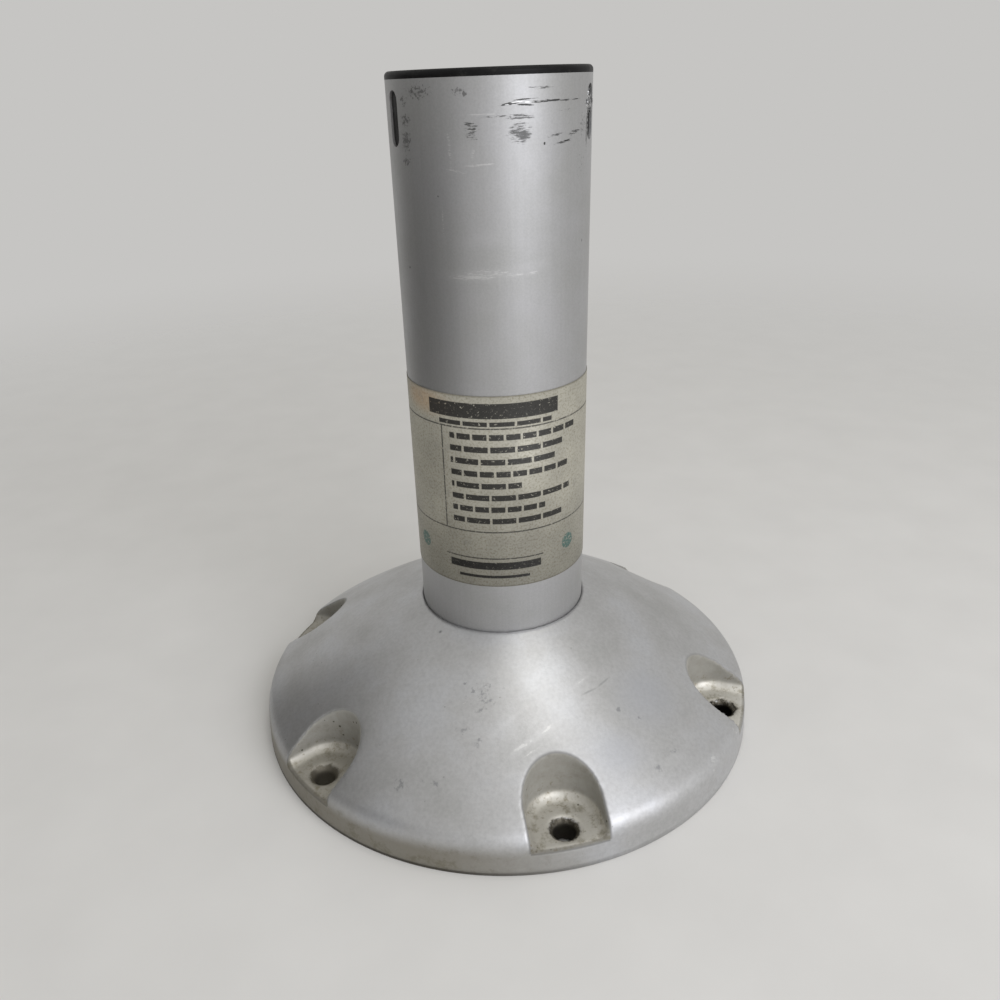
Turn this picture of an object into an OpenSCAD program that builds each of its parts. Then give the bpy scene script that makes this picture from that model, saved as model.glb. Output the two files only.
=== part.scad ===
// Fixed height boat seat pedestal.
// A cast base that bolts to a deck, a round post pressed into its socket, a plastic
// bushing in the top of the post and a plain label around the post.
// Origin: centre of the base on the deck. Z runs up the post. One bolt hole faces -Y.

/* [Base casting] */
// diameter of the base at the deck
base_d = 228.6; // [216:0.2:240]
// height of the socket mouth above the deck
hub_h = 59; // [57:0.5:62]
// height at which the dome meets the rim band
rim_h = 15.2; // [14.6:0.1:16]
// how far the rim band leans in over its height
rim_lean = 1.0; // [0.6:0.1:1.4]
// radius of the round between the rim band and the dome
rim_round = 9; // [8:0.1:10]
// height by which the dome bulges above a straight cone
dome_bulge = 2.4; // [1.8:0.1:3.2]
// wall thickness of the dome
shell_t = 5; // [4:0.5:6]
// wall thickness of the socket below the dome
socket_t = 5.5; // [4:0.5:7]
// thickness of the ledge that the post stands on
ledge_t = 5; // [4:0.5:6]
// width of the ledge that the post stands on
ledge_w = 5; // [4:0.5:7]
// thickness of the ribs under the dome
rib_t = 4; // [3:0.5:6]
// height of the lower edge of the ribs above the deck
rib_lift = 2; // [1:0.5:4]
// size of the bevel at the mouth of the socket
mouth_bevel = 0.6; // [0.4:0.1:1]

/* [Bolt pockets] */
// number of bolt pockets around the base
bolt_n = 6; // [6:1:6]
// distance from the middle of a bolt hole to the edge of the base
bolt_inset = 10.5; // [9.5:0.1:12]
// distance from a bolt hole to the middle of the round end of its pocket
pocket_back = 2; // [0:0.1:3]
// diameter of the bolt holes
bolt_hole_d = 8.6; // [7:0.1:9]
// diameter of the worn countersink at the pocket floor
sink_d = 12.6; // [11.6:0.1:14]
// depth of the countersink
sink_h = 2.6; // [1.5:0.1:3.5]
// width of a pocket
pocket_w = 30.6; // [28:0.2:32]
// height of the pocket floor above the deck
pocket_floor = 10.8; // [9:0.1:12]
// radius between the pocket floor and its wall
pocket_round = 4.5; // [3:0.5:5]
// wall thickness around a pocket on the underside
pocket_wall = 4; // [3:0.5:4.5]

/* [Post] */
// outer diameter of the post
post_d = 73; // [70:0.2:75]
// height of the top of the post above the deck
post_top = 268.5; // [255:0.5:285]
// wall thickness of the post
post_t = 3; // [2.4:0.1:3.4]
// gap between the post and its socket
socket_gap = 0.05; // [0.02:0.01:0.1]

/* [Key slots] */
// direction of the rear key slot
slot_turn = 82; // [60:1:120]
// angle from the rear slot to each of the front slots
slot_spread = 112.5; // [100:0.5:125]
// width of a key slot
slot_w = 6.6; // [5:0.1:8]
// height of a key slot
slot_h = 17.5; // [14:0.5:22]
// distance from the top of the post to a slot
slot_drop = 3.2; // [2.8:0.1:6]

/* [Top bushing] */
// thickness of the bushing flange
flange_t = 2.5; // [2.2:0.1:4]
// radius of the outer edge of the flange
flange_round = 1.6; // [1:0.1:2]
// wall thickness of the bushing skirt
skirt_t = 3; // [2:0.1:4]
// length of the bushing skirt inside the post
skirt_h = 32; // [28:0.5:45]
// gap between the bushing skirt and the post
skirt_gap = 0.1; // [0.05:0.01:0.2]
// gap around a key in its slot
key_gap = 0.15; // [0.1:0.01:0.3]
// how far a key stays below the outer face of the post
key_sink = 0.8; // [0.4:0.1:1.2]
// size of the bevel at the mouth of the bushing
bore_bevel = 1.2; // [0.6:0.1:2]

/* [Label] */
// height of the lower edge of the label above the deck
label_z = 81; // [75:0.5:95]
// height of the label
label_h = 82.5; // [60:0.5:100]
// width of the label around the post
label_w = 127; // [110:1:150]
// thickness of the label
label_t = 0.15; // [0.1:0.01:0.2]
// gap between the label and the post
label_gap = 0.05; // [0.03:0.01:0.1]
// direction that the middle of the label faces
label_turn = -107; // [-140:1:-80]

/* [Hidden] */
$fn = 96;
base_r = base_d / 2;
post_r = post_d / 2;
post_in = post_r - post_t;
socket_r = post_r + socket_gap;
hub_r = socket_r + socket_t;
bolt_r = base_r - bolt_inset;
bolt_turn = -90;
pocket_r = pocket_w / 2;
// length of a pocket from its round end to just past the rim
pocket_l = pocket_back + bolt_inset + 5;
boss_r = pocket_r + pocket_wall;
// ends of the dome curve, at the socket mouth and above the rim
dome_a = [socket_r, hub_h];
dome_b = [base_r - rim_lean, rim_h];
dome_chord = norm(dome_b - dome_a);
dome_dir = (dome_b - dome_a) / dome_chord;
dome_r = dome_chord * dome_chord / (8 * dome_bulge) + dome_bulge / 2;
dome_mid = (dome_a + dome_b) / 2;
dome_in = [dome_dir[1], -dome_dir[0]];
dome_c = dome_mid + dome_in * (dome_r - dome_bulge);
// line of the rim band and the round above it
rim_up = [-rim_lean, rim_h] / norm([rim_lean, rim_h]);
rim_in = [-rim_up[1], rim_up[0]];
rim_start = [base_r, 0] + rim_in * rim_round;
round_to = rim_start - dome_c;
round_b = round_to * rim_up;
round_q = round_to * round_to - (dome_r - rim_round) * (dome_r - rim_round);
round_len = -round_b + sqrt(round_b * round_b - round_q);
round_c = rim_start + rim_up * round_len;
round_rim = round_c - rim_in * rim_round;
round_dome = dome_c + (round_c - dome_c) * dome_r / (dome_r - rim_round);
skirt_r = post_in - skirt_gap;
bore_r = skirt_r - skirt_t;
bushing_low = post_top - skirt_h;
slot_mid = post_top - slot_drop - slot_h / 2;
slots = [slot_turn, slot_turn - slot_spread, slot_turn + slot_spread];
label_angle = label_w / post_r * 180 / PI;
CAST = [0.72, 0.73, 0.74];
TUBE = [0.66, 0.67, 0.69];
BLACK = [0.06, 0.06, 0.07];
PAPER = [0.74, 0.71, 0.62];

// outline of the dome with its rim, as half a section
module dome_section() {
    difference() {
        intersection() {
            translate(dome_c) circle(r = dome_r, $fn = 720);
            polygon([
                [0, 0],
                [base_r, 0],
                [base_r, 0] + rim_up * 2 * hub_h,
                [0, 2 * hub_h]
            ]);
            square([base_r, hub_h]);
        }
        polygon([
            round_c,
            round_rim,
            round_c + (round_rim - round_c) * 1.6,
            round_c + (round_dome + round_rim - 2 * round_c) * 1.6,
            round_c + (round_dome - round_c) * 1.6,
            round_dome
        ]);
    }
    translate(round_c) circle(r = rim_round);
}

// outline of the space under the dome
module hollow_section() {
    intersection() {
        translate(dome_c) circle(r = dome_r - shell_t, $fn = 720);
        translate([hub_r, -1]) square([base_r - shell_t - rim_lean - hub_r, hub_h]);
    }
}

// a shape set out from the axis at one of the bolt holes
module at_bolts() {
    for (i = [0 : bolt_n - 1]) rotate(bolt_turn + i * 360 / bolt_n) translate([bolt_r, 0, 0]) children();
}

// outline of half a bolt pocket with its rounded floor edge
module pocket_section() {
    translate([0, pocket_floor]) square([pocket_r - pocket_round, hub_h]);
    translate([0, pocket_floor + pocket_round]) square([pocket_r, hub_h]);
    translate([pocket_r - pocket_round, pocket_floor + pocket_round]) circle(r = pocket_round);
}

// space above one bolt pocket, open towards the rim
module pocket() {
    rotate_extrude() intersection() {
        pocket_section();
        square([base_r, 2 * hub_h]);
    }
    rotate([90, 0, 90]) linear_extrude(pocket_l) {
        pocket_section();
        mirror([1, 0]) pocket_section();
    }
}

// body under one bolt pocket
module pocket_boss() {
    cylinder(r = boss_r, h = hub_h);
    translate([0, -boss_r, 0]) cube([pocket_l, 2 * boss_r, hub_h]);
}

module base_casting() color(CAST) {
    difference() {
        rotate_extrude() dome_section();
        difference() {
            rotate_extrude() hollow_section();
            at_bolts() translate([-pocket_back, 0, -1]) pocket_boss();
            for (i = [0 : bolt_n - 1])
                rotate(bolt_turn + (i + 0.5) * 360 / bolt_n)
                    translate([hub_r - 1, -rib_t / 2, rib_lift]) cube([base_r - hub_r - 2, rib_t, hub_h]);
        }
        translate([0, 0, ledge_t]) cylinder(r = socket_r, h = hub_h);
        translate([0, 0, -1]) cylinder(r = post_r - ledge_w, h = hub_h);
        translate([0, 0, hub_h - mouth_bevel])
            cylinder(r1 = socket_r, r2 = socket_r + 2 * mouth_bevel, h = 2 * mouth_bevel);
        at_bolts() {
            translate([-pocket_back, 0, 0]) pocket();
            translate([0, 0, -1]) cylinder(d = bolt_hole_d, h = pocket_floor + 2);
            translate([0, 0, pocket_floor - sink_h])
                cylinder(d1 = bolt_hole_d, d2 = sink_d, h = sink_h);
        }
    }
}

// outline of a key slot, standing in the direction of the slot
module slot_shape(w, h) {
    translate([0, (h - w) / 2]) circle(d = w);
    translate([0, (w - h) / 2]) circle(d = w);
    square([w, h - w], center = true);
}

// a bar with the outline of a key slot, running out from the axis
module slot_bar(w, h) {
    for (a = slots) rotate(a) translate([0, 0, slot_mid]) rotate([90, 0, 90]) linear_extrude(post_d) slot_shape(w, h);
}

module post_tube() color(TUBE) {
    difference() {
        translate([0, 0, ledge_t]) cylinder(r = post_r, h = post_top - ledge_t);
        translate([0, 0, ledge_t - 1]) cylinder(r = post_in, h = post_top);
        slot_bar(slot_w, slot_h);
    }
}

module top_bushing() color(BLACK) {
    difference() {
        union() {
            translate([0, 0, bushing_low]) cylinder(r = skirt_r, h = skirt_h + flange_t / 2);
            translate([0, 0, post_top]) rotate_extrude() intersection() {
                union() {
                    square([post_r, flange_t - flange_round]);
                    square([post_r - flange_round, flange_t]);
                    translate([post_r - flange_round, flange_t - flange_round]) circle(r = flange_round);
                }
                square([post_r, flange_t]);
            }
            intersection() {
                slot_bar(slot_w - 2 * key_gap, slot_h - 2 * key_gap);
                translate([0, 0, bushing_low]) cylinder(r = post_r - key_sink, h = skirt_h);
            }
        }
        translate([0, 0, bushing_low - 1]) cylinder(r = bore_r, h = skirt_h + flange_t + 2);
        translate([0, 0, post_top + flange_t - bore_bevel])
            cylinder(r1 = bore_r, r2 = bore_r + 2 * bore_bevel, h = 2 * bore_bevel);
    }
}

module label() color(PAPER) {
    rotate(label_turn - label_angle / 2) rotate_extrude(angle = label_angle)
        translate([post_r + label_gap, label_z]) square([label_t, label_h]);
}

base_casting();
post_tube();
top_bushing();
label();
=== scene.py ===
"""Looks of a fixed height boat seat pedestal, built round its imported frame."""

import logging
import math
from collections.abc import Sequence
from dataclasses import dataclass, field
from enum import Enum

import bmesh
import bpy
from mathutils import Matrix, Vector, noise


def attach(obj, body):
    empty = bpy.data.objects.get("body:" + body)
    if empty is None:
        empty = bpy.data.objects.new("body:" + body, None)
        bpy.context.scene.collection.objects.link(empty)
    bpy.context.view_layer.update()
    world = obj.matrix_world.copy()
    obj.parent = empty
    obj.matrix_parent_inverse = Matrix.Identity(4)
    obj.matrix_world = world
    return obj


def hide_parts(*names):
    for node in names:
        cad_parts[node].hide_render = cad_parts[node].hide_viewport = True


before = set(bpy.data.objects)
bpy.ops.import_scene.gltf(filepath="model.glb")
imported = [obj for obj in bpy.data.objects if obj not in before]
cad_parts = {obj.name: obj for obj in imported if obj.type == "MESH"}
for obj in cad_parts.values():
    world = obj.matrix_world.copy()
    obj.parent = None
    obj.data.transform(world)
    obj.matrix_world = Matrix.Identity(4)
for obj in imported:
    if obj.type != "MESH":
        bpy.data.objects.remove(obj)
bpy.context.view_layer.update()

LOG = logging.getLogger("pedestal")
MM = 0.001
BODY = "root"

# direction in which the camera stands, seen from the post, in degrees from +X
CAMERA_SIDE = -101.9
# direction of the first bolt, in degrees from +X
FIRST_BOLT = -90.0

Colour = tuple[float, float, float, float]
Socket = bpy.types.NodeSocket


class Slot(Enum):
    """Names of the material slots."""

    CAST = "cast_metal"
    TUBE = "tube_metal"
    PLASTIC = "black_plastic"
    FILM = "label_film"


class Kind(Enum):
    """Node types that the finishes and the studio use."""

    BACKGROUND = "ShaderNodeBackground"
    BLEND_SHADERS = "ShaderNodeMixShader"
    BRICKS = "ShaderNodeTexBrick"
    BUMP = "ShaderNodeBump"
    CELLS = "ShaderNodeTexVoronoi"
    CLEAR = "ShaderNodeBsdfTransparent"
    JOIN = "ShaderNodeCombineXYZ"
    MAPPING = "ShaderNodeMapping"
    MATH = "ShaderNodeMath"
    MATERIAL_OUT = "ShaderNodeOutputMaterial"
    MIX = "ShaderNodeMix"
    NOISE = "ShaderNodeTexNoise"
    PLACE = "ShaderNodeTexCoord"
    PRINCIPLED = "ShaderNodeBsdfPrincipled"
    RAMP = "ShaderNodeValToRGB"
    RANGE = "ShaderNodeMapRange"
    ROTATE = "ShaderNodeVectorRotate"
    SPLIT = "ShaderNodeSeparateXYZ"
    UV = "ShaderNodeUVMap"
    VECTOR = "ShaderNodeVectorMath"
    WORLD_OUT = "ShaderNodeOutputWorld"


USUAL = {
    Kind.MIX: {"data_type": "RGBA"},
    Kind.RANGE: {"interpolation_type": "SMOOTHSTEP"},
    Kind.ROTATE: {"rotation_type": "Z_AXIS"},
}


def linear(code: str) -> Colour:
    """Turn an sRGB hex value into a linear colour.

    Args:
        code: Colour such as "#a0b0c0".

    Returns:
        Red, green, blue and alpha.
    """
    channels = [int(code[i : i + 2], 16) / 255 for i in (1, 3, 5)]
    flat = [c / 12.92 if c <= 0.04045 else ((c + 0.055) / 1.055) ** 2.4 for c in channels]
    return (flat[0], flat[1], flat[2], 1.0)


def per_metre(size_mm: float) -> float:
    """Texture scale at which one feature is size_mm wide on Object coordinates."""
    return 1.0 / (size_mm * MM)


def add(
    tree: bpy.types.NodeTree,
    kind: Kind,
    inputs: dict | None = None,
    out: int | str = 0,
    stops: Sequence[tuple[float, str]] = (),
    **settings: object,
) -> Socket:
    """Add one node with its settings and links.

    Args:
        tree: Tree that takes the node.
        kind: Type of the node.
        inputs: Values, hex colours or output sockets by input name or index.
        out: Name or index of the output that is wanted.
        stops: Position and hex colour of each stop, for a ramp.
        settings: Properties of the node.

    Returns:
        The wanted output, or the first input of a node without outputs.
    """
    node = tree.nodes.new(kind.value)
    for name, value in {**USUAL.get(kind, {}), **settings}.items():
        setattr(node, name, value)
    for key, value in (inputs or {}).items():
        if isinstance(value, bpy.types.NodeSocket):
            tree.links.new(value, node.inputs[key])
        else:
            node.inputs[key].default_value = linear(value) if isinstance(value, str) else value
    while stops and len(node.color_ramp.elements) < len(stops):
        node.color_ramp.elements.new(0.5)
    for i, (place_at, code) in enumerate(stops):
        node.color_ramp.elements[i].position = place_at
        node.color_ramp.elements[i].color = linear(code)
    return node.outputs[out] if len(node.outputs) else node.inputs[0]


def times(tree: bpy.types.NodeTree, *factors: Socket | float) -> Socket:
    """Product of shares.

    Args:
        tree: Tree that takes the nodes.
        factors: Shares or numbers, two or more.

    Returns:
        The product.
    """
    total = factors[0]
    for factor in factors[1:]:
        total = add(tree, Kind.MATH, {0: total, 1: factor}, operation="MULTIPLY")
    return total


@dataclass(frozen=True)
class Mark:
    """A rub, smudge or gouge on a surface, in millimetres across and up that surface."""

    across: float
    up: float
    half_w: float
    half_h: float
    turn: float = 0.0
    strength: float = 0.8


def marked(tree: bpy.types.NodeTree, surface: Socket, marks: Sequence[Mark], grain: Socket | None = None) -> Socket:
    """Share of a surface that a set of marks covers.

    Args:
        tree: Tree that takes the nodes.
        surface: Place on the surface in millimetres.
        marks: The marks.
        grain: Noise that breaks the marks up, more so towards their edges.

    Returns:
        Share from 0 outside the marks to 1 in their middle.
    """
    total = None
    for mark in marks:
        local = add(tree, Kind.VECTOR, {0: surface, 1: (mark.across, mark.up, 0.0)}, operation="SUBTRACT")
        if mark.turn:
            local = add(tree, Kind.ROTATE, {"Vector": local, "Angle": -mark.turn})
        local = add(tree, Kind.VECTOR, {0: local, 1: (mark.half_w, mark.half_h, 1.0)}, operation="DIVIDE")
        away = add(tree, Kind.VECTOR, {0: local}, "Value", operation="LENGTH")
        share = add(tree, Kind.RANGE, {0: away, 1: 1.3, 2: 0.2, 3: 0.0, 4: mark.strength})
        total = share if total is None else add(tree, Kind.MATH, {0: total, 1: share}, operation="MAXIMUM")
    if grain is None:
        return total
    spread = add(tree, Kind.RANGE, {0: grain, 1: 0.28, 2: 0.72}, interpolation_type="LINEAR")
    packed = add(tree, Kind.MATH, {0: total, 1: spread}, operation="ADD")
    near = add(tree, Kind.RANGE, {0: total, 1: 0.0, 2: 0.25})
    return times(tree, add(tree, Kind.RANGE, {0: packed, 1: 0.9, 2: 1.2}), near)


class Coat:
    """Colour of a surface, laid on layer by layer, with its shader."""

    def __init__(self, name: str) -> None:
        """Start an empty material.

        Args:
            name: Name of the finish.
        """
        self.material = bpy.data.materials.new(name)
        self.material.use_nodes = True
        self.tree = self.material.node_tree
        self.tree.nodes.clear()
        self.surface = add(self.tree, Kind.PRINCIPLED)
        self.shader = self.surface.node
        self.out = add(self.tree, Kind.MATERIAL_OUT, {"Surface": self.surface})
        self.base: Socket | None = None

    def lay(self, share: Socket | float, colour: Socket | str, mode: str = "MIX") -> None:
        """Lay a colour over the base.

        Args:
            share: Share of the surface that the colour covers.
            colour: The colour.
            mode: Blend mode.
        """
        self.base = add(self.tree, Kind.MIX, {0: share, 6: self.base, 7: colour}, 2, blend_type=mode)

    def finish(
        self,
        metallic: Socket | float,
        roughness: Socket | float,
        height: Socket,
        strength: float,
        depth_mm: float,
    ) -> bpy.types.Material:
        """Set the gloss and the relief.

        Args:
            metallic: Share of metal, one value or a pattern.
            roughness: Roughness, one value or a pattern.
            height: Pattern that the relief follows.
            strength: Strength of the relief.
            depth_mm: Depth of the relief.

        Returns:
            The finished material.
        """
        relief = add(self.tree, Kind.BUMP, {"Strength": strength, "Distance": depth_mm * MM, "Height": height})
        self.tree.links.new(relief, self.shader.inputs["Normal"])
        self.tree.links.new(self.base, self.shader.inputs["Base Color"])
        for name, value in (("Metallic", metallic), ("Roughness", roughness)):
            if isinstance(value, bpy.types.NodeSocket):
                self.tree.links.new(value, self.shader.inputs[name])
            else:
                self.shader.inputs[name].default_value = value
        return self.material


@dataclass(frozen=True)
class CastAluminium:
    """Satin cast aluminium: soft, faintly clouded and pale, with oxide and dirt in its pockets."""

    bolt_r: float = 103.8
    pocket_back: float = 2.0
    pocket_r: float = 15.3
    floor: float = 10.8
    hole_r: float = 6.3
    # grey bruises on the dome, in plan
    bruises: tuple[Mark, ...] = (
        Mark(-28.1, -53.1, 1.4, 1.0, 0.3, 0.5),
        Mark(-13.3, -59.3, 1.2, 1.6, 0.0, 0.45),
        Mark(-25.5, -57.5, 1.8, 1.2, 0.4, 0.55),
        Mark(-19.5, -62.3, 2.6, 1.6, 0.5, 0.5),
        Mark(-24.3, -65.3, 1.6, 1.4, 0.0, 0.55),
        Mark(-22.0, -60.0, 9.0, 8.0, 0.3, 0.42),
        Mark(-28.2, -76.9, 3.2, 2.2, 0.2, 0.5),
        Mark(-33.0, -70.0, 8.0, 5.0, 0.5, 0.36),
        Mark(31.9, -72.2, 1.3, 1.6, 0.0, 0.7),
        Mark(40.3, -75.5, 1.6, 1.2, 0.0, 0.55),
        Mark(51.6, -86.4, 3.0, 1.6, 0.4, 0.6),
        Mark(41.8, -93.4, 2.6, 2.0, 0.2, 0.5),
        Mark(-48.0, -84.0, 5.0, 2.5, -0.5, 0.45),
        Mark(-60.0, -80.0, 5.0, 3.0, -0.7, 0.45),
    )
    # pale scuffs and streaks on the dome, in plan
    scuffs: tuple[Mark, ...] = (
        Mark(-30.6, -60.9, 1.8, 0.5, 0.2, 0.75),
        Mark(-11.0, -81.8, 8.0, 0.9, 0.28, 0.55),
        Mark(1.0, -77.3, 7.0, 0.8, 0.48, 0.55),
        Mark(-8.0, -84.5, 6.0, 0.5, 0.3, 0.5),
        Mark(20.0, -60.5, 6.0, 0.4, 0.55, 0.5),
        Mark(68.5, -88.0, 2.0, 4.6, -0.66, 0.5),
        Mark(86.0, -72.0, 1.6, 4.6, -0.86, 0.5),
    )
    # broad faint pale streaks on the dome, in plan
    haze: tuple[Mark, ...] = (
        Mark(-5.0, -79.8, 15.0, 1.7, 0.36, 0.6),
        Mark(-14.0, -72.0, 12.0, 1.2, 0.42, 0.4),
        Mark(20.0, -60.5, 9.0, 1.0, 0.55, 0.45),
        Mark(50.0, -90.0, 7.0, 2.4, 0.5, 0.45),
    )
    # a faint dark arc and one dark speck
    lines: tuple[Mark, ...] = (
        Mark(21.5, -65.2, 4.5, 0.45, 0.36, 0.5),
        Mark(29.0, -61.3, 4.5, 0.45, 0.58, 0.5),
        Mark(-33.6, -26.1, 0.8, 0.8, 0.0, 1.0),
    )
    # painted cool reflection: a bluish grey cloud on the dome between the front and the right pockets
    painted_cool_reflection: tuple[Mark, ...] = (
        Mark(46.0, -66.0, 17.0, 13.0, 0.5, 0.8),
        Mark(28.0, -88.0, 12.0, 9.0, 0.3, 0.7),
    )

    def build(self) -> bpy.types.Material:
        """Build the material.

        Returns:
            The finished material.
        """
        coat = Coat("satin_cast_aluminium")
        tree = coat.tree
        place_at = add(tree, Kind.PLACE, out="Object")
        # clouds left by handling and weather, about 30 mm across
        cloud = add(tree, Kind.NOISE, {"Vector": place_at, "Scale": per_metre(30), "Detail": 5.0, "Roughness": 0.55})
        coat.base = add(tree, Kind.RAMP, {0: cloud}, stops=((0.34, "#babab9"), (0.5, "#c3c3c3"), (0.66, "#c9cacc")))
        # fine mottling of the cast skin, about 1.6 mm across
        mottle = add(tree, Kind.NOISE, {"Vector": place_at, "Scale": per_metre(1.6), "Detail": 4.0, "Roughness": 0.65})
        coat.lay(0.3, add(tree, Kind.RAMP, {0: mottle}, stops=((0.32, "#d0d0d0"), (0.62, "#ffffff"))), "MULTIPLY")
        plan = add(tree, Kind.VECTOR, {0: place_at, 1: (1 / MM, 1 / MM, 0.0)}, operation="MULTIPLY")
        patchy = add(tree, Kind.NOISE, {"Vector": place_at, "Scale": per_metre(2.4), "Detail": 6.0, "Roughness": 0.7})
        # painted cool reflection laid over the base colour
        painted_cool_reflection = add(tree, Kind.MATH, {0: marked(tree, plan, self.painted_cool_reflection), 1: 0.5}, operation="MULTIPLY")
        coat.lay(painted_cool_reflection, "#b7bac1")
        coat.lay(times(tree, marked(tree, plan, self.bruises, patchy), 0.62), "#87888b")
        coat.lay(times(tree, marked(tree, plan, self.lines), 0.7), "#6d6e6f")
        coat.lay(times(tree, marked(tree, plan, self.scuffs, patchy), 0.5), "#e2e2e0")
        coat.lay(times(tree, marked(tree, plan, self.haze), 0.4), "#dcdcdd")
        pocket, edge, bore, left, height = self.regions(tree, place_at)
        # film of oxide and dirt in the pockets, blotches about 6 mm across
        grime = add(tree, Kind.NOISE, {"Vector": place_at, "Scale": per_metre(6), "Detail": 8.0, "Roughness": 0.74})
        oxide = add(
            tree, Kind.RAMP, {0: grime}, stops=((0.3, "#b9b5aa"), (0.42, "#cdcac1"), (0.6, "#d8d6cf"), (0.75, "#e0ded8"))
        )
        coat.lay(pocket, oxide)
        # painted shade along the softened edges of the pockets and their lips, which dims the highlight these edges
        # catch
        coat.lay(times(tree, edge, 0.5), "#8a8984")
        # small grey specks, about 0.5 mm, scattered over the dome
        fleck = add(tree, Kind.CELLS, {"Vector": place_at, "Scale": per_metre(7.5), "Randomness": 1.0})
        coat.lay(add(tree, Kind.RANGE, {0: fleck, 1: 0.06, 2: 0.02, 3: 0.0, 4: 0.5}), "#77776f")
        # dark pits of about 0.7 mm in the pockets
        pit = add(tree, Kind.CELLS, {"Vector": place_at, "Scale": per_metre(3.2), "Randomness": 1.0})
        reach = add(tree, Kind.NOISE, {"Vector": place_at, "Scale": per_metre(7), "Detail": 2.0})
        reach = add(tree, Kind.RANGE, {0: reach, 1: 0.48, 2: 0.68, 3: 0.0, 4: 0.19})
        hit = add(tree, Kind.MATH, {0: pit, 1: reach}, operation="LESS_THAN")
        coat.lay(times(tree, hit, pocket, 0.8), "#5c574b")
        # brown dirt in the corner between the pocket floor and its wall, and round the hole
        low = add(tree, Kind.RANGE, {0: height, 1: self.floor + 4.5, 2: self.floor + 0.3})
        patch = add(tree, Kind.RANGE, {0: grime, 1: 0.5, 2: 0.36})
        coat.lay(times(tree, low, patch, pocket, 0.6), "#8f8a78")
        # brown specks of about 0.8 mm on the pocket walls
        wall = add(tree, Kind.RANGE, {0: height, 1: self.floor + 16.0, 2: self.floor + 2.0})
        dots = add(tree, Kind.RANGE, {0: patchy, 1: 0.43, 2: 0.36})
        coat.lay(times(tree, wall, dots, pocket, 0.6), "#8d836a")
        # dark crust in the worn countersink, and painted shade that makes the hole below it near black
        crust = add(tree, Kind.RAMP, {0: patchy}, stops=((0.38, "#26231e"), (0.5, "#4f4b41"), (0.66, "#98938a")))
        coat.lay(bore, crust)
        # painted shade deep in the bolt hole
        coat.lay(times(tree, bore, add(tree, Kind.RANGE, {0: height, 1: self.floor - 1.4, 2: self.floor - 2.8})), "#100e0b")
        # painted shade low on the rim band at the left, tinted brown as a painted reflection of the floor
        rim = times(tree, add(tree, Kind.RANGE, {0: height, 1: 15.0, 2: 8.0}), left)
        coat.lay(times(tree, rim, 0.82), "#8a8578")
        rim_patch = add(tree, Kind.RANGE, {0: grime, 1: 0.5, 2: 0.66})
        coat.lay(times(tree, rim, rim_patch, 0.45), "#736d58")
        # painted contact shadow where the rim stands on the deck, at the left
        coat.lay(times(tree, add(tree, Kind.RANGE, {0: height, 1: 1.6, 2: 0.8}), left, 0.7), "#37332b")
        gloss = add(tree, Kind.RANGE, {0: cloud, 1: 0.3, 2: 0.7, 3: 0.45, 4: 0.4})
        gloss = add(tree, Kind.MATH, {0: gloss, 1: times(tree, edge, 0.4)}, operation="ADD")
        # the rim is a little duller from handling
        handled = add(tree, Kind.RANGE, {0: height, 1: 20.0, 2: 13.0, 3: 0.0, 4: 0.15})
        gloss = add(tree, Kind.MATH, {0: gloss, 1: handled}, operation="ADD")
        # sand grain of the casting, drawn at 0.9 mm because 0.3 mm would not show
        grain = add(tree, Kind.NOISE, {"Vector": place_at, "Scale": per_metre(0.9), "Detail": 3.0, "Roughness": 0.6})
        relief = add(tree, Kind.MATH, {0: grain, 1: times(tree, patchy, pocket, 2.0)}, operation="ADD")
        return coat.finish(0.85, gloss, relief, 0.12, 0.3)

    def regions(self, tree: bpy.types.NodeTree, place_at: Socket) -> tuple[Socket, ...]:
        """Find the pockets and bolt holes by their place.

        Args:
            tree: Tree that takes the nodes.
            place_at: Object coordinates in metres.

        Returns:
            Shares inside a pocket, on its edge, inside a bolt hole and of the left side, and the height in millimetres.
        """
        scaled = add(tree, Kind.VECTOR, {0: place_at, "Scale": 1 / MM}, operation="SCALE")
        x, y, z = add(tree, Kind.SPLIT, {0: scaled}).node.outputs
        sixth = math.pi / 3
        # all six pockets fold onto one, so that one pattern serves them
        angle = add(tree, Kind.MATH, {0: y, 1: x}, operation="ARCTAN2")
        angle = add(tree, Kind.MATH, {0: angle, 1: sixth / 2 - math.radians(FIRST_BOLT)}, operation="ADD")
        angle = add(tree, Kind.MATH, {0: angle, 1: sixth}, operation="FLOORED_MODULO")
        angle = add(tree, Kind.MATH, {0: angle, 1: sixth / 2}, operation="SUBTRACT")
        flat = add(tree, Kind.JOIN, {0: x, 1: y, 2: 0.0})
        radius = add(tree, Kind.VECTOR, {0: flat}, "Value", operation="LENGTH")
        along = times(tree, radius, add(tree, Kind.MATH, {0: angle}, operation="COSINE"))
        along = add(tree, Kind.MATH, {0: along, 1: self.bolt_r}, operation="SUBTRACT")
        across = times(tree, radius, add(tree, Kind.MATH, {0: angle}, operation="SINE"))
        inboard = add(tree, Kind.MATH, {0: along, 1: self.pocket_back}, operation="ADD")
        inboard = add(tree, Kind.MATH, {0: inboard, 1: 0.0}, operation="MINIMUM")
        from_slot = add(tree, Kind.VECTOR, {0: add(tree, Kind.JOIN, {0: inboard, 1: across})}, "Value", operation="LENGTH")
        from_hole = add(tree, Kind.VECTOR, {0: add(tree, Kind.JOIN, {0: along, 1: across})}, "Value", operation="LENGTH")
        pocket = add(tree, Kind.RANGE, {0: from_slot, 1: self.pocket_r + 0.5, 2: self.pocket_r + 0.1})
        above = add(tree, Kind.RANGE, {0: z, 1: self.floor - 0.9, 2: self.floor - 0.2})
        pocket = times(tree, pocket, above)
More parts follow.
